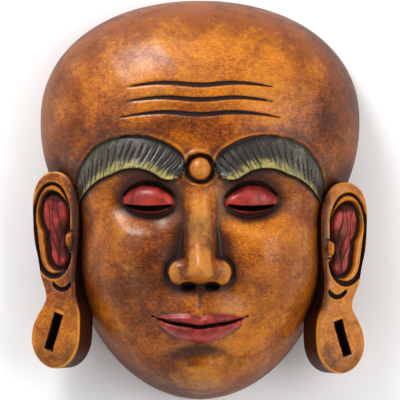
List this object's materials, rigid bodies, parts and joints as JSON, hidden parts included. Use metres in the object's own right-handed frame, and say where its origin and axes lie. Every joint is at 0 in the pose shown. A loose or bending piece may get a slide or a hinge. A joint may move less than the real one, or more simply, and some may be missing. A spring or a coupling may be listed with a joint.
{
  "type": "carved face mask",
  "caption": "Carved and painted wooden mask of a bald, long-eared, calmly smiling holy man, hollow behind, with sight slits and a hanging notch.",
  "frame": {"origin": "on the floor under the middle of the mask's bounding box", "axes": "+X across the face, +Y from the chin to the crown, +Z out of the face; the mask lies on its rim"},
  "size_m": [0.2088, 0.25, 0.1016],
  "materials": {
    "painted_wood": "brushed orange-brown stain under a satin varnish, with dark rubbed recesses"
  },
  "bodies": {
    "root": {"mask": "painted_wood"}
  },
  "joints": []
}
